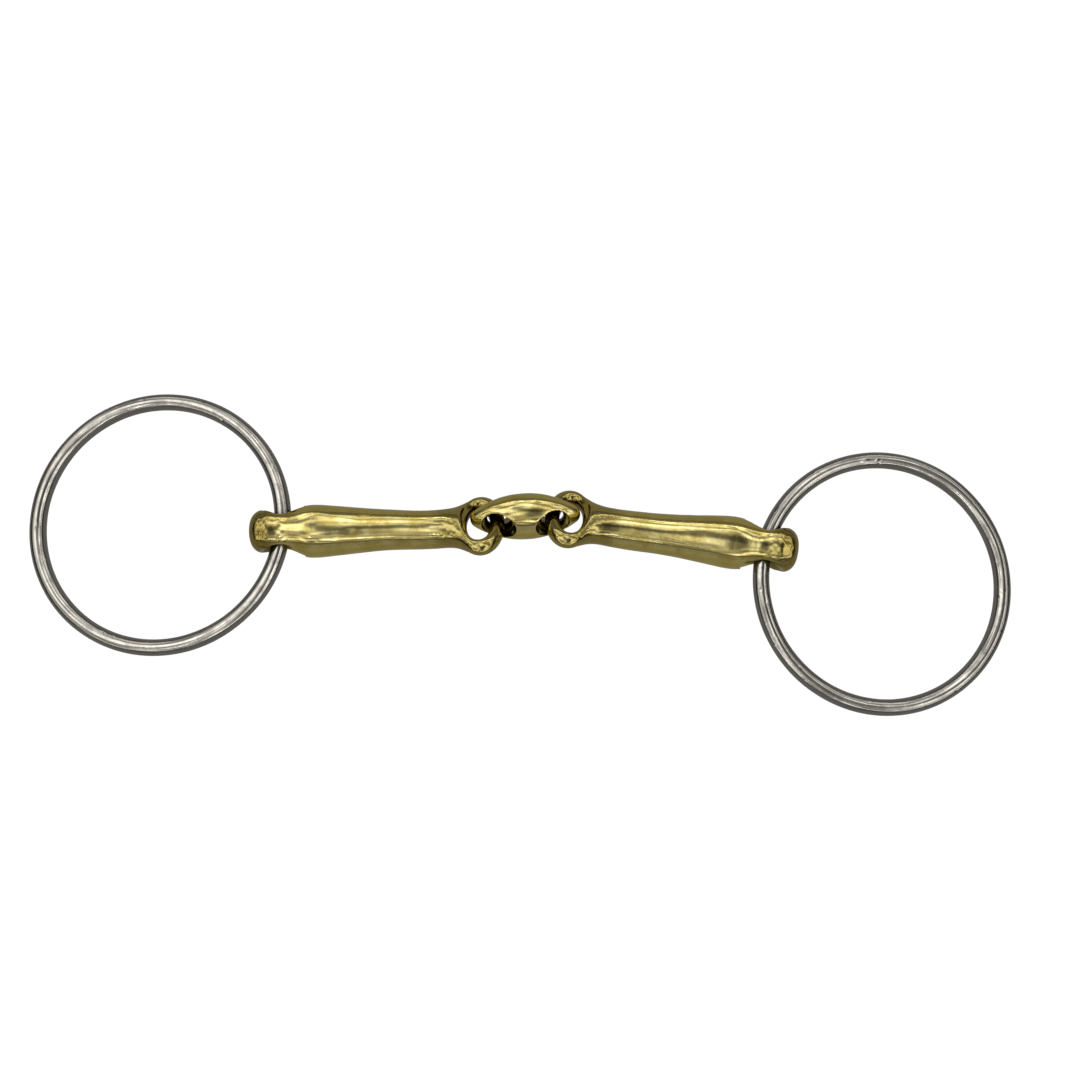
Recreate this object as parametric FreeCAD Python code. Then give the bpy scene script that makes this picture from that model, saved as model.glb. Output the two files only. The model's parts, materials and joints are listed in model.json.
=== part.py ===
"""Double-jointed loose-ring snaffle bit: two cannons, a lens-shaped centre link and two loose rings.

Millimetres. +X runs along the mouthpiece, +Z points up from the table the bit lies on.
The origin is the middle of the bit's footprint, on the table.
"""
import FreeCAD, Part
import math
import os

V = FreeCAD.Vector
X_AXIS = V(1, 0, 0)
Y_AXIS = V(0, 1, 0)
Z_AXIS = V(0, 0, 1)

# Loose ring: plain round wire, about 70 mm outside.
RING_WIRE_R = 2.2
RING_MEAN_R = 33.0

# Cannon, in its own frame: ring hole at the origin along Y, body along +X towards the eye.
# Each section is (x, half width across the eye, half depth).
CANNON_SECTIONS = [
    (-4.6, 5.9, 5.9), (-1.0, 5.9, 5.9), (2.4, 6.02, 6.02), (5.6, 6.72, 6.72), (8.4, 7.02, 7.02),
    (13.6, 6.62, 6.62), (20.0, 6.0, 6.0), (29.0, 5.35, 5.35), (38.0, 5.1, 5.1), (41.5, 5.25, 5.05),
    (44.0, 5.65, 4.9), (46.3, 6.8, 4.55), (48.5, 8.85, 3.9), (50.4, 10.3, 2.6),
]
CANNON_END_X = -8.3
BORE_THROAT_R = 2.6
BORE_FLARE_R = 7.0
BORE_FLARE_Y = 6.6

# Eye at the inner end of the cannon: an oval loop of round wire, standing a little off the bar's axis.
EYE_WIRE_R = 3.4
EYE_DEPTH_R = 2.35
EYE_CENTRE_X = 52.4
EYE_OUTER_HALF_LENGTH = 6.4
EYE_OUTER_HALF_WIDTH = 11.0
EYE_HOLE_X = 51.8
EYE_HOLE_HALF_LENGTH = 3.0
EYE_HOLE_HALF_WIDTH = 6.6
EYE_OFFSET = 1.2
EYE_BEND_START_X = 38.0

# Centre link: a lens with round ends; the end bars sit inside the cannon eyes.
LINK_BAR_R = 2.3
LINK_BAR_X = 12.3
LINK_HALF_WIDTH = 5.7
LINK_THICKNESS_RATIO = 1.13
LINK_WEB_HALF = 4.2
LINK_HOLE_HALF_WIDTH = 3.05

# Walls of the eyes and of the link's holes.
HOLE_WALL_STEPS = 6
HOLE_WALL_REACH_RATIO = 0.95
HOLE_PLUG_LENGTH = 8.0

# Angle between the mouthpiece plane and the holes of the link.
LINK_ANGLE = 40.0

# How the bit lies on the table, in degrees about Z unless stated.
HOLE_HEIGHT = 7.2
LINK_TURN = 3.0
LEFT_TURN = 0.7
RIGHT_TURN = -7.2
LEFT_RING_TURN = -4.4
RIGHT_RING_TURN = -15.8
RING_LEAN = math.degrees(math.asin((HOLE_HEIGHT - RING_WIRE_R) / (2.0 * RING_MEAN_R)))

# Slope of each cannon, in degrees, its eye end up.
LEFT_PITCH = 0.75
RIGHT_PITCH = -0.33

# Where a link end bar sits in its eye: up the eye's long way, and along the bar.
LEFT_BAR_UP = 2.5
RIGHT_BAR_UP = 1.7
BAR_IN_EYE_SIDE = 0.35


def oval(half_x, half_y, z):
    """A closed elliptical wire at height z, parallel to the XY plane, starting on the +X side."""
    upright = half_y > half_x
    ellipse = Part.Ellipse(V(0, 0, 0), max(half_x, half_y), min(half_x, half_y))
    start = -math.pi / 2.0 if upright else 0.0
    wire = Part.Wire([ellipse.toShape(start, start + 2.0 * math.pi)])
    if upright:
        wire.rotate(V(0, 0, 0), Z_AXIS, 90)
    wire.translate(V(0, 0, z))
    return wire


def squeezed(shape, x_ratio, y_ratio, z_ratio):
    """The shape scaled by a different ratio along each axis."""
    matrix = FreeCAD.Matrix()
    matrix.scale(x_ratio, y_ratio, z_ratio)
    return shape.transformGeometry(matrix)


def flared_hole(half_x, half_y, wall_r, side_flare=1.0):
    """A cutter for an oval hole along Z whose walls are rounded to radius wall_r.

    side_flare scales the rounding of the two walls that face Y.
    """
    steps = HOLE_WALL_STEPS
    reach = HOLE_WALL_REACH_RATIO * wall_r
    wires = []
    for i in range(-steps, steps + 1):
        z = reach * math.sin(math.pi * i / (2.0 * steps))
        grow = wall_r - math.sqrt(wall_r ** 2 - z ** 2)
        wires.append(oval(half_x + grow, half_y + side_flare * grow, z))
    cutter = Part.makeLoft(wires, True, False)
    for side in (1, -1):
        rim = oval(half_x + grow, half_y + side_flare * grow, side * reach)
        plug = Part.Face(rim).extrude(V(0, 0, side * HOLE_PLUG_LENGTH))
        cutter = cutter.fuse(plug)
    return cutter


def make_ring():
    """The loose ring, flat in the XY plane, its wire passing through the origin along Y."""
    ring = Part.makeTorus(RING_MEAN_R, RING_WIRE_R)
    ring.translate(V(-RING_MEAN_R, 0, 0))
    return ring


def eye_offset(x):
    """How far the bar's middle has moved towards the eye's own middle, at length x."""
    share = (x - EYE_BEND_START_X) / (EYE_CENTRE_X - EYE_BEND_START_X)
    share = min(max(share, 0.0), 1.0)
    return EYE_OFFSET * share ** 2 * (3.0 - 2.0 * share)


def cannon_body():
    """The round tapering bar, flattening and widening into the root of the eye."""
    wires = []
    for x, half_width, half_depth in CANNON_SECTIONS:
        wire = oval(half_depth, half_width, 0)
        wire.rotate(V(0, 0, 0), Y_AXIS, 90)
        wire.translate(V(x, 0, eye_offset(x)))
        wires.append(wire)
    return Part.makeLoft(wires, True, False)


def cannon_end():
    """The blunt ring end of the cannon, with a rounded rim."""
    x, r = CANNON_SECTIONS[0][:2]
    rim_r = x - CANNON_END_X
    bevel = rim_r * math.sqrt(0.5)
    flat_r = r - rim_r
    rim = Part.Arc(V(CANNON_END_X, flat_r, 0), V(x - bevel, flat_r + bevel, 0), V(x, r, 0)).toShape()
    corners = [V(x, r, 0), V(x, 0, 0), V(CANNON_END_X, 0, 0), V(CANNON_END_X, flat_r, 0)]
    sides = [Part.makeLine(p, q) for p, q in zip(corners, corners[1:])]
    return Part.Face(Part.Wire([rim] + sides)).revolve(V(0, 0, 0), X_AXIS, 360)


def eye_loop():
    """Oval loop in the XY plane: a round ring shortened along X and flattened along Z."""
    wire_r = EYE_WIRE_R
    ring = Part.makeTorus(EYE_OUTER_HALF_WIDTH - wire_r, wire_r)
    loop = squeezed(ring, EYE_OUTER_HALF_LENGTH / EYE_OUTER_HALF_WIDTH, 1.0, EYE_DEPTH_R / wire_r)
    loop.translate(V(EYE_CENTRE_X, 0, EYE_OFFSET))
    return loop


def ring_bore():
    """Cutter for the ring hole: a round throat opening out to both mouths."""
    centre_r = BORE_THROAT_R + BORE_FLARE_R
    mouth_r = centre_r - math.sqrt(BORE_FLARE_R ** 2 - BORE_FLARE_Y ** 2)
    top, bottom = V(mouth_r, BORE_FLARE_Y, 0), V(mouth_r, -BORE_FLARE_Y, 0)
    flare = Part.Arc(bottom, V(BORE_THROAT_R, 0, 0), top).toShape()
    foot_top, foot_bottom = V(0, BORE_FLARE_Y, 0), V(0, -BORE_FLARE_Y, 0)
    sides = [Part.makeLine(top, foot_top), Part.makeLine(foot_top, foot_bottom),
             Part.makeLine(foot_bottom, bottom)]
    return Part.Face(Part.Wire([flare] + sides)).revolve(V(0, 0, 0), Y_AXIS, 360)


def make_cannon(side):
    """Cannon of one side (-1 left, 1 right): ring hole along Y at the origin, eye rolled to suit the link."""
    body = cannon_body().fuse(eye_loop())
    hole = flared_hole(EYE_HOLE_HALF_LENGTH, EYE_HOLE_HALF_WIDTH, EYE_DEPTH_R)
    hole.translate(V(EYE_HOLE_X, 0, EYE_OFFSET))
    body = body.cut(hole)
    body.rotate(V(0, 0, 0), X_AXIS, side * LINK_ANGLE)
    cannon = body.fuse(cannon_end()).cut(ring_bore())
    return cannon.Solids[0]


def make_link():
    """Centre link in its own frame: long axis X, holes along Z, end bars along Y."""
    half_w = LINK_HALF_WIDTH
    bar_x = LINK_BAR_X
    flank_r = (bar_x ** 2 + half_w ** 2 - LINK_BAR_R ** 2) / (2.0 * (half_w - LINK_BAR_R))
    flank_centre = V(0, half_w - flank_r, 0)
    to_bar = V(bar_x, 0, 0).sub(flank_centre).normalize()
    join = V(bar_x, 0, 0).add(to_bar.multiply(LINK_BAR_R))
    tip = V(bar_x + LINK_BAR_R, 0, 0)
    half_angle = math.atan2(join.y, join.x - bar_x) / 2.0
    middle = V(bar_x + LINK_BAR_R * math.cos(half_angle), LINK_BAR_R * math.sin(half_angle), 0)
    flank = Part.Arc(V(-join.x, join.y, 0), V(0, half_w, 0), join).toShape()
    end = Part.Arc(join, middle, tip).toShape()
    start = Part.Arc(V(-tip.x, 0, 0), V(-middle.x, middle.y, 0), V(-join.x, join.y, 0)).toShape()
    outline = Part.Wire([start, flank, end, Part.makeLine(tip, V(-tip.x, 0, 0))])
    lens = Part.Solid(Part.Face(outline).revolve(V(0, 0, 0), X_AXIS, 360))
    link = squeezed(lens, 1.0, LINK_THICKNESS_RATIO, 1.0)
    inner, outer = LINK_WEB_HALF, bar_x - LINK_BAR_R
    for side in (1, -1):
        hole = flared_hole((outer - inner) / 2.0, LINK_HOLE_HALF_WIDTH, LINK_BAR_R, 0.5)
        hole.translate(V(side * (outer + inner) / 2.0, 0, 0))
        link = link.cut(hole)
    return link.Solids[0]


def turned(angle, axis=Z_AXIS):
    """Placement that turns by an angle in degrees about an axis through the origin."""
    return FreeCAD.Placement(V(0, 0, 0), FreeCAD.Rotation(axis, angle))


def at(point):
    """Placement that moves the origin to a point."""
    return FreeCAD.Placement(point, FreeCAD.Rotation())


def moved(shape, *steps):
    """A copy of the shape with placements applied, the last one first."""
    place = FreeCAD.Placement()
    for step in steps:
        place = place.multiply(step)
    result = shape.copy()
    result.Placement = place.multiply(result.Placement)
    return result


def link_pose():
    """Placement of the link: holes turned to their angle, then turned on the table."""
    return turned(LINK_TURN).multiply(turned(90.0 - LINK_ANGLE, X_AXIS))


def half_bit(side, cannon_turn, pitch, bar_up, ring_turn):
    """Cannon and ring of one side (-1 left, 1 right), joined to the link at the origin."""
    bar = link_pose().multVec(V(side * LINK_BAR_X, 0, 0))
    in_eye = V(EYE_HOLE_X, -side * bar_up, EYE_OFFSET + BAR_IN_EYE_SIDE)
    seat = turned(side * LINK_ANGLE, X_AXIS).multVec(in_eye)
    facing = cannon_turn + (180.0 if side > 0 else 0.0)
    heading = turned(facing).multiply(turned(-pitch, Y_AXIS))
    hole = bar.sub(heading.multVec(seat))
    cannon = moved(make_cannon(side), at(hole), heading)
    ring_heading = turned(ring_turn + (180.0 if side > 0 else 0.0))
    ring = moved(make_ring(), at(hole), ring_heading, turned(-RING_LEAN, Y_AXIS))
    return cannon, ring, hole


def build():
    """All pieces in their lying position, as a dictionary of node name to solid."""
    link = moved(make_link(), link_pose())
    left_cannon, left_ring, left_hole = half_bit(-1, LEFT_TURN, LEFT_PITCH, LEFT_BAR_UP, LEFT_RING_TURN)
    right_cannon, right_ring, right_hole = half_bit(1, RIGHT_TURN, RIGHT_PITCH, RIGHT_BAR_UP, RIGHT_RING_TURN)
    parts = {
        "left_ring": left_ring,
        "left_cannon": left_cannon,
        "centre_link": link,
        "right_cannon": right_cannon,
        "right_ring": right_ring,
    }
    box = Part.makeCompound(list(parts.values())).optimalBoundingBox(False)
    middle = V((box.XMin + box.XMax) / 2.0, (box.YMin + box.YMax) / 2.0, left_hole.z - HOLE_HEIGHT)
    return {name: moved(shape, at(middle.negative())) for name, shape in parts.items()}


def main():
    os.makedirs("parts", exist_ok=True)
    for name, shape in build().items():
        shape.exportStep("parts/%s.step" % name)


main()
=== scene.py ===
"""Looks of a double-jointed loose-ring snaffle bit: golden alloy mouthpiece, polished steel rings."""
import json
import math
import random

import bmesh
import bpy
import numpy as np
from mathutils import Matrix, Vector, noise


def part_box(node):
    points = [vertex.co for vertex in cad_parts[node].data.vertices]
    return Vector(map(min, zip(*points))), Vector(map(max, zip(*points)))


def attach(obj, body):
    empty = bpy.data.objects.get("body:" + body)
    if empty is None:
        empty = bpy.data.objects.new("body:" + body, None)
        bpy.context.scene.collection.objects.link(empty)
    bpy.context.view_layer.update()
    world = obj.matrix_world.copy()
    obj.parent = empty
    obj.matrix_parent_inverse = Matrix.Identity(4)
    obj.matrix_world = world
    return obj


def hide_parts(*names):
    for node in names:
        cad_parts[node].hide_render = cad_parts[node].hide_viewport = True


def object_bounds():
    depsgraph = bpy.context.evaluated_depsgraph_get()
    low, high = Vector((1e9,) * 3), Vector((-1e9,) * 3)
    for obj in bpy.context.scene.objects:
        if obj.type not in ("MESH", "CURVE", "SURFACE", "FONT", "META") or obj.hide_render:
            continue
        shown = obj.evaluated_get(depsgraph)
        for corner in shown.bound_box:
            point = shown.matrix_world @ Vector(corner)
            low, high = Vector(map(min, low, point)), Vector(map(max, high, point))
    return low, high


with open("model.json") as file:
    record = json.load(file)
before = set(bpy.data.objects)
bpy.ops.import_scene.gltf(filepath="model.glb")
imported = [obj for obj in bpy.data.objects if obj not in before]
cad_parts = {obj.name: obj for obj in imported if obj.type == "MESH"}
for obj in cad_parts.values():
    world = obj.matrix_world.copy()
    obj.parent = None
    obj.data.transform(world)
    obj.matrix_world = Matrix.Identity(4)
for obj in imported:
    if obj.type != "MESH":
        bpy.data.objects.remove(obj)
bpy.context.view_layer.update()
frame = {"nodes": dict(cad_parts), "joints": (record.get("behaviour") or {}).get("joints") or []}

MM = 0.001
FULL_TURN = 2 * math.pi
joints = {j["name"]: j for j in frame["joints"]}
nodes = frame["nodes"]


# ---------------------------------------------------------------- node helpers

def new_material(name):
    """A material with an empty node tree."""
    material = bpy.data.materials.new(name)
    material.use_nodes = True
    material.node_tree.nodes.clear()
    return material, material.node_tree


def add(tree, kind, **settings):
    """Adds a node; settings are its properties, or input values by name."""
    node = tree.nodes.new(kind)
    for key, value in settings.items():
        if hasattr(node, key):
            setattr(node, key, value)
        else:
            node.inputs[key.replace("_", " ")].default_value = value
    return node


def maths(tree, operation, a, b=None):
    """A math node; a and b are sockets or numbers."""
    node = add(tree, "ShaderNodeMath", operation=operation)
    for i, value in enumerate((a, b)):
        if isinstance(value, bpy.types.NodeSocket):
            tree.links.new(value, node.inputs[i])
        elif value is not None:
            node.inputs[i].default_value = value
    return node.outputs[0]


def product(tree, *values):
    """Product of sockets and numbers."""
    result = values[0]
    for value in values[1:]:
        result = maths(tree, "MULTIPLY", result, value)
    return result


def total(tree, *values):
    """Sum of sockets and numbers."""
    result = values[0]
    for value in values[1:]:
        result = maths(tree, "ADD", result, value)
    return result


def length(tree, a, b):
    """Length of the vector (a, b)."""
    return maths(tree, "SQRT", total(tree, product(tree, a, a), product(tree, b, b)))


def gap(tree, value, place):
    """Distance of a value from a place."""
    return maths(tree, "ABSOLUTE", maths(tree, "SUBTRACT", value, place))


def step(tree, value, low, high):
    """Smooth step from 0 at low to 1 at high; low may be the larger."""
    node = tree.nodes.new("ShaderNodeMapRange")
    node.interpolation_type = "SMOOTHSTEP"
    node.inputs["From Min"].default_value = low
    node.inputs["From Max"].default_value = high
    tree.links.new(value, node.inputs["Value"])
    return node.outputs[0]


def grey_ramp(tree, value, *stops):
    """A ramp between greys; each stop is (position, grey)."""
    node = tree.nodes.new("ShaderNodeValToRGB")
    for element, (position, grey) in zip(node.color_ramp.elements, stops):
        element.position = position
        element.color = (grey, grey, grey, 1.0)
    tree.links.new(value, node.inputs[0])
    return node.outputs[0]


def mix_colour(tree, factor, a, b):
    """A colour mix; factor is a socket, and each colour is a socket or (r, g, b)."""
    node = add(tree, "ShaderNodeMix", data_type="RGBA")
    factor_input, a_input, b_input, colour_output = 0, 6, 7, 2
    tree.links.new(factor, node.inputs[factor_input])
    for index, value in ((a_input, a), (b_input, b)):
        if isinstance(value, bpy.types.NodeSocket):
            tree.links.new(value, node.inputs[index])
        else:
            node.inputs[index].default_value = (*value, 1.0)
    return node.outputs[colour_output]


def darker(colour, share):
    """The colour times share."""
    return tuple(share * c for c in colour)


def noise_on(tree, vector, scale, detail, roughness=0.55, distortion=0.0):
    """Noise texture value on a vector socket."""
    node = add(tree, "ShaderNodeTexNoise", Scale=scale, Detail=detail, Roughness=roughness,
               Distortion=distortion)
    tree.links.new(vector, node.inputs["Vector"])
    return node.outputs[0]


def cells_on(tree, vector, scale, randomness):
    """Distance to the nearest of many scattered points."""
    node = add(tree, "ShaderNodeTexVoronoi", Scale=scale, Randomness=randomness)
    tree.links.new(vector, node.inputs["Vector"])
    return node.outputs["Distance"]


def stretched(tree, vector, scale):
    """The vector scaled per axis."""
    node = tree.nodes.new("ShaderNodeMapping")
    node.inputs["Scale"].default_value = scale
    tree.links.new(vector, node.inputs["Vector"])
    return node.outputs[0]


def split(tree, vector):
    """The x, y and z of a vector socket."""
    node = tree.nodes.new("ShaderNodeSeparateXYZ")
    tree.links.new(vector, node.inputs[0])
    return node.outputs


def bump_chain(tree, heights):
    """Bump nodes in series; heights is a list of (height socket, strength, distance in mm)."""
    normal = None
    for height, strength, distance in heights:
        node = add(tree, "ShaderNodeBump", Strength=strength, Distance=distance * MM)
        tree.links.new(height, node.inputs["Height"])
        if normal is not None:
            tree.links.new(normal, node.inputs["Normal"])
        normal = node.outputs[0]
    return normal


def finish_with(tree, output_kind, socket):
    """Links the socket to a new output node."""
    output = tree.nodes.new(output_kind)
    tree.links.new(socket, output.inputs[0])


# ---------------------------------------------------------------- materials

def metal_colour(tree, place, cast, clouds, pits, tint, glancing_shade_tint, glancing_shade_at, tint_dark):
    """Clean tint with painted shade at glancing angles, under tarnish clouds, mottling, cast skin and pits,
    with painted shade in the recesses.
    """
    cloud_share, mottle_share, cast_share = 0.8, 0.4, 0.8
    shade_reach = 5.0 * MM
    mottle = noise_on(tree, place, scale=1.3, detail=5.0, roughness=0.65)
    # Painted shade: towards glancing angles the colour turns to the darker side tint, standing in for the
    # dark reflections along the edges.
    facing = add(tree, "ShaderNodeLayerWeight", Blend=0.5).outputs["Facing"]
    colour = mix_colour(tree, step(tree, facing, 0.02, glancing_shade_at), tint, glancing_shade_tint)
    colour = mix_colour(tree, product(tree, step(tree, clouds, 0.38, 0.68), cloud_share), colour, tint_dark)
    colour = mix_colour(tree, product(tree, step(tree, mottle, 0.50, 0.75), mottle_share), colour, tint_dark)
    colour = mix_colour(tree, product(tree, cast, cast_share), colour, darker(tint_dark, 0.55))
    colour = mix_colour(tree, pits, darker(tint_dark, 0.5), colour)
    # Painted shade: the colour darkens in the recesses, measured by ambient occlusion, where less light
    # reaches.
    openness = add(tree, "ShaderNodeAmbientOcclusion", samples=8, Distance=shade_reach).outputs["AO"]
    return mix_colour(tree, step(tree, openness, 0.15, 0.80), darker(tint_dark, 0.16), colour)


def metal_material(name, tint, glancing_shade_tint, glancing_shade_at, tint_dark, rough_low, rough_high, scratches, cast_lumps):
    """Polished metal with cloudy tarnish, hairlines, pits and fine grain, painted shade at glancing angles
    and in the recesses.

    The "along" attribute holds millimetres along the piece and round it, and how roughly cast the skin is.
    Noise scales are per millimetre; scratches is the scale of the hairlines on "along", and cast_lumps the
    height of the lumps of the cast skin in millimetres.
    """
    material, tree = new_material(name)
    along = add(tree, "ShaderNodeAttribute", attribute_name="along").outputs["Vector"]
    cast = split(tree, along)[2]
    per_metre = 1 / MM
    place = stretched(tree, add(tree, "ShaderNodeTexCoord").outputs["Object"], (per_metre,) * 3)

    clouds = noise_on(tree, place, scale=0.22, detail=4.0, roughness=0.6, distortion=0.4)
    hairs = noise_on(tree, stretched(tree, along, scratches), scale=1.0, detail=3.0, roughness=0.7,
                     distortion=0.1)
    pits = step(tree, cells_on(tree, place, scale=0.9, randomness=1.0), 0.03, 0.09)
    grain = noise_on(tree, place, scale=6.0, detail=2.0, roughness=0.5)
    lumps = noise_on(tree, place, scale=0.55, detail=1.0, roughness=0.4)
    swells = noise_on(tree, place, scale=0.14, detail=1.0, roughness=0.4)

    hair_rough = 0.10
    rough = total(tree, product(tree, step(tree, clouds, 0.3, 0.7), rough_high - rough_low), rough_low,
                  product(tree, step(tree, hairs, 0.5, 0.72), hair_rough))
    normal = bump_chain(tree, [
        (swells, 0.5, 0.15),
        (product(tree, lumps, cast), 0.35, cast_lumps),
        (step(tree, hairs, 0.42, 0.70), 0.12, 0.008),
        (grain, 0.12, 0.006),
        (pits, 0.5, 0.03),
    ])
    shader = add(tree, "ShaderNodeBsdfPrincipled", Metallic=1.0)
    colour = metal_colour(tree, place, cast, clouds, pits, tint, glancing_shade_tint, glancing_shade_at, tint_dark)
    tree.links.new(colour, shader.inputs["Base Color"])
    tree.links.new(rough, shader.inputs["Roughness"])
    tree.links.new(normal, shader.inputs["Normal"])
    finish_with(tree, "ShaderNodeOutputMaterial", shader.outputs[0])
    return material


# The second tint of each metal is painted shade, reached at glancing angles.
gold = metal_material(
    "golden_alloy",
    tint=(0.86, 0.75, 0.34), glancing_shade_tint=(0.66, 0.54, 0.14), glancing_shade_at=0.5, tint_dark=(0.55, 0.43, 0.11),
    rough_low=0.07, rough_high=0.15, scratches=(0.10, 2.2, 0.0), cast_lumps=0.35)
steel = metal_material(
    "polished_steel",
    tint=(0.78, 0.76, 0.71), glancing_shade_tint=(0.30, 0.29, 0.27), glancing_shade_at=0.22, tint_dark=(0.34, 0.32, 0.30),
    rough_low=0.09, rough_high=0.18, scratches=(0.06, 3.0, 0.0), cast_lumps=0.1)


# ---------------------------------------------------------------- mesh helpers

def vertex_array(mesh):
    """The vertices as an (n, 3) array in metres."""
    co = np.empty(len(mesh.vertices) * 3)
    mesh.vertices.foreach_get("co", co)
    return co.reshape(-1, 3)


def normal_array(mesh):
    """The vertex normals as an (n, 3) array."""
    no = np.empty(len(mesh.vertices) * 3)
    mesh.vertices.foreach_get("normal", no)
    return no.reshape(-1, 3)


def write_vertices(mesh, co):
    """Puts an (n, 3) array in metres back into the mesh."""
    mesh.vertices.foreach_set("co", co.ravel())
    mesh.update()


def write_along(mesh, distance, girth, cast=0.0):
    """Stores millimetres along and around the piece, and how roughly cast it is, for the materials."""
    data = np.zeros((len(distance), 3), np.float32)
    data[:, 0] = distance
    data[:, 1] = girth
    data[:, 2] = cast
    layer = mesh.attributes.new("along", "FLOAT_VECTOR", "POINT")
    layer.data.foreach_set("vector", data.ravel())


def unit(v):
    """The vector at length 1."""
    v = np.asarray(v, float)
    return v / np.linalg.norm(v)


def remeshed(node, name, voxel, passes):
    """A new object with the node's shape, evenly meshed and with its edges eased; voxel in millimetres."""
    same_point = 1e-6
    source = nodes[node].data.copy()
    work = bmesh.new()
    work.from_mesh(source)
    bmesh.ops.remove_doubles(work, verts=work.verts, dist=same_point)
    work.to_mesh(source)
    work.free()
    obj = bpy.data.objects.new(name, source)
    bpy.context.scene.collection.objects.link(obj)
    mesher = obj.modifiers.new("mesher", "REMESH")
    mesher.mode = "VOXEL"
    mesher.voxel_size = voxel * MM
    ease = obj.modifiers.new("ease", "SMOOTH")
    ease.factor = 0.5
    ease.iterations = passes
    graph = bpy.context.evaluated_depsgraph_get()
    mesh = bpy.data.meshes.new_from_object(obj.evaluated_get(graph))
    obj.modifiers.clear()
    obj.data = mesh
    mesh.name = name
    mesh.shade_smooth()
    return obj


def uneven(co, no, wavelength, height, seed):
    """Moves points along their normals by soft noise; wavelength and height in millimetres."""
    offset = Vector((seed * 7.3, seed * 3.1, seed * 5.7))
    scale = 1.0 / (wavelength * MM)
    lift = np.array([noise.noise(Vector(p) * scale + offset) for p in co])
    return co + no * (lift * height * MM)[:, None]


def keep_in(co, node):
    """Holds points inside the node's own box."""
    low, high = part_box(node)
    np.clip(co, np.array(low), np.array(high), out=co)


def dress(obj, node, material):
    """Puts a finished piece on the body named like its CAD node, in place of the node."""
    obj.data.materials.clear()
    obj.data.materials.append(material)
    nodes[node].data.materials.clear()
    nodes[node].data.materials.append(material)
    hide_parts(node)
    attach(obj, node)


# ---------------------------------------------------------------- mouthpiece

CANNON_VOXEL, CANNON_PASSES = 0.22, 46
LINK_VOXEL, LINK_PASSES = 0.18, 22
# Millimetres from the ring hole towards the eye.
FLAT_START, FLAT_END, FLAT_FADE = 3.0, 44.0, 6.0
EYE_START, EYE_FADE = 39.0, 3.0
END_START, END_FADE = 0.5, 4.0
CALM_END, CALM_FADE, CALM_LEAST = 46.0, 4.0, 0.25
# The worn flats above and below: tilt, share of the radius where they begin, share of the rest worn off.
FLAT_TILT, FLAT_LEVEL, FLAT_WEAR = math.radians(8.0), 0.84, 0.35
# The hand polish: (wavelength, height) in millimetres.
LONG_WAVE, SHORT_WAVE, LINK_WAVE = (14.0, 0.30), (5.5, 0.03), (5.0, 0.06)
EYE_CAST = 0.75
CANNON_GIRTH, LINK_GIRTH = 6.0, 5.0


def outer_radius(x, y, z):
    """Each point's largest distance from the axis at its own place along the piece."""
    reach = np.hypot(y, z)
    edges = np.linspace(x.min(), x.max(), 120)
    count = len(edges) - 1
    which = np.clip(np.digitize(x, edges) - 1, 0, count - 1)
    girth = np.array([reach[which == i].max() if (which == i).any() else 0 for i in range(count)])
    return np.interp(x, 0.5 * (edges[1:] + edges[:-1]), girth)


def make_cannon(side, seed):
    """Cannon: eased mesh, a softly flattened face above and below, slightly uneven hand polish."""
    name = side + "_cannon"
    hole = np.array(joints[side + "_ring_swing"]["pos_m"])
    eye = np.array(joints[side + "_cannon_hinge"]["pos_m"])
    obj = remeshed(name, name + "_cast", CANNON_VOXEL, CANNON_PASSES)
    axis = unit(eye - hole)
    up = unit(np.array([0.0, 0.0, 1.0]) - axis * axis[2])
    across = np.cross(up, axis)
    rel = vertex_array(obj.data) - hole
    x, y, z = rel @ axis / MM, rel @ across / MM, rel @ up / MM

    limit = FLAT_LEVEL * outer_radius(x, y, z)
    fade = np.clip((x - FLAT_START) / FLAT_FADE, 0, 1) * np.clip((FLAT_END - x) / FLAT_FADE, 0, 1)
    for sign in (1, -1):
        rise, lean = math.cos(FLAT_TILT), math.sin(FLAT_TILT * sign)
        height = (z * rise + y * lean) * sign
        worn = np.maximum(height - limit, 0) * FLAT_WEAR * fade * sign
        z = z - worn * rise
        y = y - worn * lean
    co = hole + (np.outer(x, axis) + np.outer(y, across) + np.outer(z, up)) * MM
    write_vertices(obj.data, co)

    no = normal_array(obj.data)
    calm = np.clip((CALM_END - x) / CALM_FADE, CALM_LEAST, 1)[:, None]
    moved = uneven(co, no, *LONG_WAVE, seed)
    moved = uneven(moved, no, *SHORT_WAVE, seed + 1)
    moved = co + (moved - co) * calm
    keep_in(moved, name)
    write_vertices(obj.data, moved)
    cast = EYE_CAST * np.clip((x - EYE_START) / EYE_FADE, 0, 1) + np.clip((END_START - x) / END_FADE, 0, 1)
    write_along(obj.data, x, np.arctan2(z, y) * CANNON_GIRTH, cast)
    dress(obj, name, gold)


def make_link(seed):
    """Centre link: eased mesh with a slightly uneven polish."""
    name = "centre_link"
    obj = remeshed(name, name + "_cast", LINK_VOXEL, LINK_PASSES)
    co = vertex_array(obj.data)
    moved = uneven(co, normal_array(obj.data), *LINK_WAVE, seed)
    keep_in(moved, name)
    write_vertices(obj.data, moved)
    x, y, z = ((co - co.mean(0)) / MM).T
    write_along(obj.data, x, np.arctan2(z, y) * LINK_GIRTH)
    dress(obj, name, gold)


# ---------------------------------------------------------------- rings

RING_ROUNDS, RING_SIDES = 900, 56
DENTS = 46
DENT_LENGTH, DENT_WIDTH, DENT_DEPTH, DENT_SLANT = (0.25, 0.9), (0.16, 0.34), (0.02, 0.07), (-0.9, 0.9)
WIRE_SHRINK = 0.02


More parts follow.
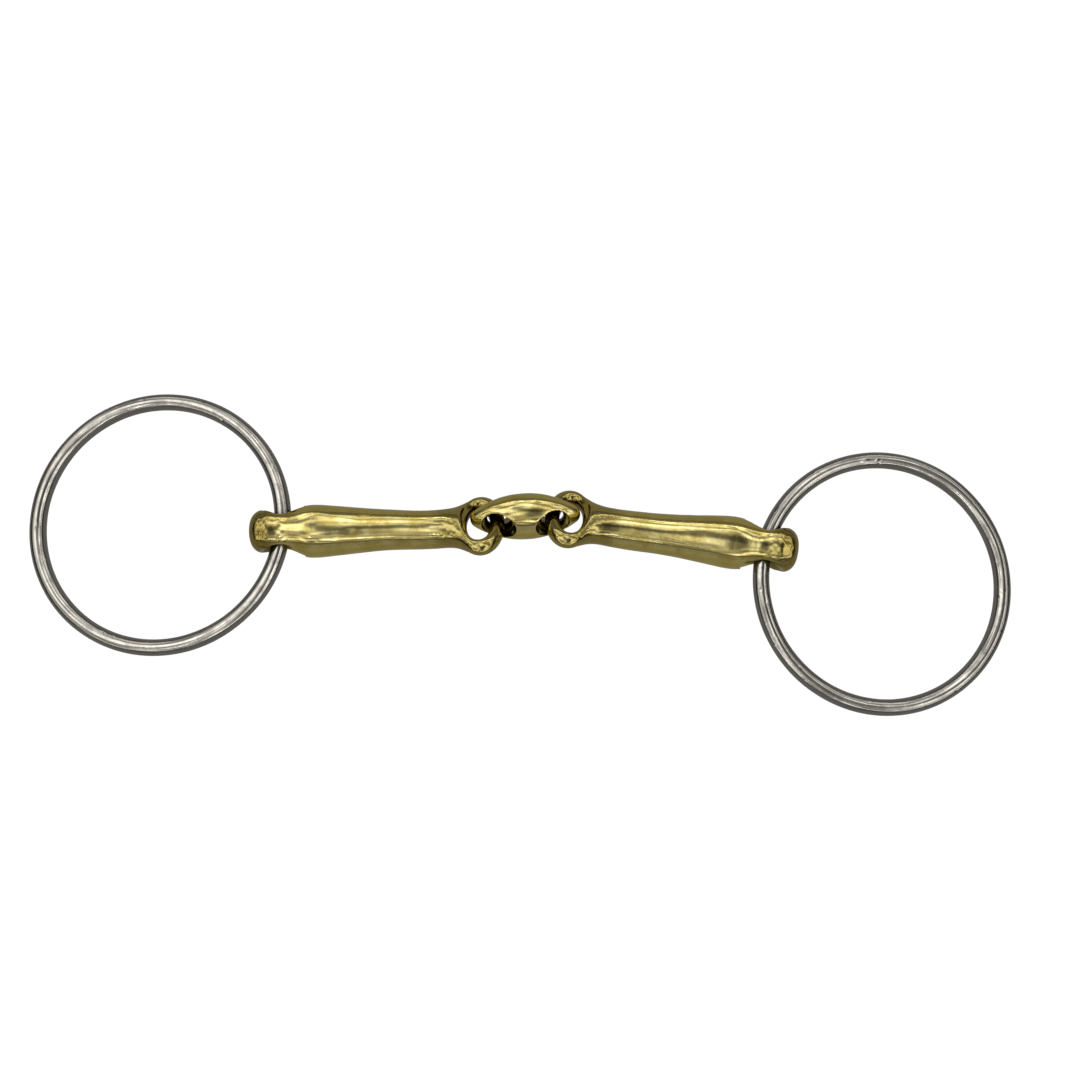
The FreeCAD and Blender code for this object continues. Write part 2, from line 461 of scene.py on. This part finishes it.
def ring_circle(node):
    """Centre, axis, wire radius and mean radius of a CAD ring, in metres."""
    co = vertex_array(nodes[node].data)
    centre = 0.5 * (co.max(0) + co.min(0))
    rel = co - centre
    normal = np.linalg.svd(rel[::5], full_matrices=False)[2][2]
    normal = normal * np.sign(normal[2])
    span = np.linalg.norm(rel - np.outer(rel @ normal, normal), axis=1)
    return centre, normal, 0.5 * (span.max() - span.min()), 0.5 * (span.max() + span.min())


def nearest_turn(angle):
    """The angle brought between minus half a turn and half a turn."""
    return (angle + math.pi) % FULL_TURN - math.pi


def wire_wear(a, b, wire_r, mean_r, seed):
    """Millimetres of lift over the wire at angle a round the ring and b round the wire: waves and dents."""
    lift = 0.012 * np.sin(5 * a + seed) + 0.010 * np.sin(11 * a + 2 * b + seed)
    rng = random.Random(seed)
    for _ in range(DENTS):
        at_a, at_b = rng.uniform(0, FULL_TURN), rng.uniform(0.1, math.pi - 0.1)
        long, wide = rng.uniform(*DENT_LENGTH), rng.uniform(*DENT_WIDTH)
        slant = rng.uniform(*DENT_SLANT)
        u = nearest_turn(a - at_a) * mean_r / MM
        v = nearest_turn(b - at_b) * wire_r / MM
        u, v = u * math.cos(slant) + v * math.sin(slant), v * math.cos(slant) - u * math.sin(slant)
        lift = lift - rng.uniform(*DENT_DEPTH) * np.exp(-(u / long) ** 2 - (v / wide) ** 2)
    return lift


def make_ring(side, seed):
    """Loose ring: fine torus on the CAD ring's own circle, with faint waves and small dents from use."""
    name = side + "_ring"
    centre, normal, wire_r, mean_r = ring_circle(name)
    e1 = unit(np.array([1.0, 0, 0]) - normal * normal[0])
    e2 = np.cross(normal, e1)
    a = np.repeat(np.arange(RING_ROUNDS) * FULL_TURN / RING_ROUNDS, RING_SIDES)
    b = np.tile(np.arange(RING_SIDES) * FULL_TURN / RING_SIDES, RING_ROUNDS)
    out = np.outer(np.cos(a), e1) + np.outer(np.sin(a), e2)
    direction = out * np.cos(b)[:, None] + np.outer(np.sin(b), normal)
    lift = wire_wear(a, b, wire_r, mean_r, seed)
    points = centre + out * mean_r + direction * (wire_r + (lift - WIRE_SHRINK) * MM)[:, None]

    index = np.arange(RING_ROUNDS * RING_SIDES).reshape(RING_ROUNDS, RING_SIDES)
    onward = np.roll(index, -1, axis=0)
    corners = [index, onward, np.roll(onward, -1, axis=1), np.roll(index, -1, axis=1)]
    mesh = bpy.data.meshes.new(name + "_wire")
    mesh.from_pydata(points.tolist(), [], np.stack(corners, -1).reshape(-1, 4).tolist())
    mesh.validate()
    mesh.shade_smooth()
    write_along(mesh, a * mean_r / MM, b * wire_r / MM)
    obj = bpy.data.objects.new(name + "_wire", mesh)
    bpy.context.scene.collection.objects.link(obj)
    dress(obj, name, steel)


make_cannon("left", seed=3)
make_cannon("right", seed=8)
make_link(seed=5)
make_ring("left", seed=21)
make_ring("right", seed=34)


# ---------------------------------------------------------------- studio

def make_floor():
    """Pale floor, partly self-lit so that shadows stay faint, below all that a joint can lower.

    Every joint chains outwards from the middle, so nothing drops further than half the object's length.
    """
    size = 3.0
    self_lit, glow_strength = 0.60, 1.02
    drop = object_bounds()[1][0]
    corners = [(-size, -size), (size, -size), (size, size), (-size, size)]
    mesh = bpy.data.meshes.new("floor")
    mesh.from_pydata([(x, y, -drop) for x, y in corners], [], [(0, 1, 2, 3)])
    floor = bpy.data.objects.new("floor", mesh)
    bpy.context.scene.collection.objects.link(floor)
    material, tree = new_material("pale_floor")
    paper = noise_on(tree, add(tree, "ShaderNodeTexCoord").outputs["Object"], scale=40.0, detail=3.0)
    diffuse = add(tree, "ShaderNodeBsdfDiffuse")
    tree.links.new(grey_ramp(tree, paper, (0.3, 0.93), (0.7, 0.95)), diffuse.inputs["Color"])
    glow = add(tree, "ShaderNodeEmission", Strength=glow_strength)
    mix = add(tree, "ShaderNodeMixShader", Fac=self_lit)
    tree.links.new(diffuse.outputs[0], mix.inputs[1])
    tree.links.new(glow.outputs[0], mix.inputs[2])
    finish_with(tree, "ShaderNodeOutputMaterial", mix.outputs[0])
    mesh.materials.append(material)
    floor.visible_glossy = False


def ceiling_light(tree, tan_x, tan_y, plane, area):
    """Patchy bright ceiling with small lamps, and a dark head and camera in front of it."""
    patches = noise_on(tree, plane, scale=1.9, detail=1.2, roughness=0.45, distortion=0.2)
    patchy = total(tree, product(tree, step(tree, patches, 0.40, 0.62), 1.25), 0.18)
    head_x, head_y, head_narrow, head_long = 0.24, -0.30, 3.0, 1.3
    off = length(tree, product(tree, maths(tree, "SUBTRACT", tan_x, head_x), head_narrow),
                 product(tree, maths(tree, "SUBTRACT", tan_y, head_y), head_long))
    seen = total(tree, product(tree, step(tree, off, 0.50, 1.2), 0.90), 0.10)
    lamp_strength = 7.0
    lamp_cells = cells_on(tree, plane, scale=3.4, randomness=0.9)
    lamps = product(tree, step(tree, lamp_cells, 0.15, 0.09), area, lamp_strength)
    return total(tree, product(tree, area, patchy, seen), lamps)


def lamp_strips(tree, tan_x, tan_y, plane, across):
    """Two long broken lamp strips, one far and one near, and a faint ring of light."""
    far_at, far_strength, near_at, near_strength = 2.15, 3.0, -1.16, 1.6
    ring_at, ring_strength = 0.70, 0.3
    streaks = noise_on(tree, stretched(tree, plane, (1.0, 0.2, 1.0)), scale=5.0, detail=2.0)
    broken = step(tree, streaks, 0.38, 0.6)
    far = product(tree, step(tree, gap(tree, tan_y, far_at), 0.22, 0.12), broken, across, far_strength)
    near = product(tree, step(tree, gap(tree, tan_y, near_at), 0.12, 0.06), broken, across, near_strength)
    slant = length(tree, tan_x, tan_y)
    ring = product(tree, step(tree, gap(tree, slant, ring_at), 0.24, 0.04), ring_strength)
    return total(tree, far, near, ring)


def room_brightness(tree):
    """Brightness seen in reflections: ceiling and lamps, dark walls, pale table.

    tan_x and tan_y are the slopes of the ray from straight up, as places on a ceiling at height 1.
    """
    x, y, z = split(tree, tree.nodes.new("ShaderNodeTexCoord").outputs["Generated"])
    least_height = 0.02
    height = maths(tree, "MAXIMUM", z, least_height)
    tan_x, tan_y = maths(tree, "DIVIDE", x, height), maths(tree, "DIVIDE", y, height)
    joined = tree.nodes.new("ShaderNodeCombineXYZ")
    tree.links.new(tan_x, joined.inputs[0])
    tree.links.new(tan_y, joined.inputs[1])
    plane = joined.outputs[0]

    across = step(tree, maths(tree, "ABSOLUTE", tan_x), 2.6, 1.5)
    area = product(tree, step(tree, tan_y, -2.30, -0.95), step(tree, tan_y, 3.4, 1.3), across)
    far_wall, near_wall, wall_base, table = 0.13, 0.22, 0.035, 0.30
    walls = total(tree, product(tree, step(tree, y, 0.35, 0.8), far_wall),
                  product(tree, step(tree, tan_y, -1.9, -3.2), near_wall), wall_base)
    above = total(tree, ceiling_light(tree, tan_x, tan_y, plane, area), walls,
                  lamp_strips(tree, tan_x, tan_y, plane, across))
    upward = step(tree, z, 0.0, 0.06)
    below = product(tree, maths(tree, "SUBTRACT", 1.0, upward), table)
    return total(tree, product(tree, above, upward), below)


def make_world():
    """Even white light on the floor; reflections see the room instead."""
    warm_white, white = (1.0, 0.98, 0.93, 1.0), (1.0, 1.0, 1.0, 1.0)
    world = bpy.data.worlds.new("studio")
    bpy.context.scene.world = world
    world.use_nodes = True
    tree = world.node_tree
    tree.nodes.clear()
    room = add(tree, "ShaderNodeBackground", Color=warm_white)
    tree.links.new(room_brightness(tree), room.inputs["Strength"])
    soft = add(tree, "ShaderNodeBackground", Color=white, Strength=1.08)
    path = tree.nodes.new("ShaderNodeLightPath")
    choose = tree.nodes.new("ShaderNodeMixShader")
    tree.links.new(path.outputs["Is Glossy Ray"], choose.inputs[0])
    tree.links.new(soft.outputs[0], choose.inputs[1])
    tree.links.new(room.outputs[0], choose.inputs[2])
    finish_with(tree, "ShaderNodeOutputWorld", choose.outputs[0])


def make_light():
    """One large soft lamp above the far left, hidden from reflections."""
    data = bpy.data.lights.new("softbox", "AREA")
    data.shape = "SQUARE"
    data.size = 1.2
    data.energy = 1.5
    lamp = bpy.data.objects.new("softbox", data)
    bpy.context.scene.collection.objects.link(lamp)
    lamp.location = (-0.35, 0.45, 1.3)
    lamp.rotation_euler = (-lamp.location).to_track_quat("-Z", "Y").to_euler()
    lamp.visible_glossy = False


def make_camera():
    """Almost overhead, leaning a little towards the viewer's side of the table."""
    lean, swing, distance = math.radians(8.8), math.radians(-1.1), 331.0 * MM
    target = Vector((4.82, 3.22, 6.43)) * MM
    data = bpy.data.cameras.new("camera")
    data.sensor_width = 36.0
    data.lens = 41.67
    camera = bpy.data.objects.new("camera", data)
    bpy.context.scene.collection.objects.link(camera)
    back = Vector((math.sin(swing), -math.sin(lean), 0))
    back.z = math.sqrt(1.0 - back.length_squared)
    right = Vector((0, 1, 0)).cross(back).normalized()
    turn = Matrix((right, back.cross(right), back)).transposed().to_4x4()
    camera.matrix_world = Matrix.Translation(target + back * distance) @ turn
    bpy.context.scene.camera = camera


make_floor()
make_world()
make_light()
make_camera()
bpy.context.scene.view_settings.view_transform = "Standard"
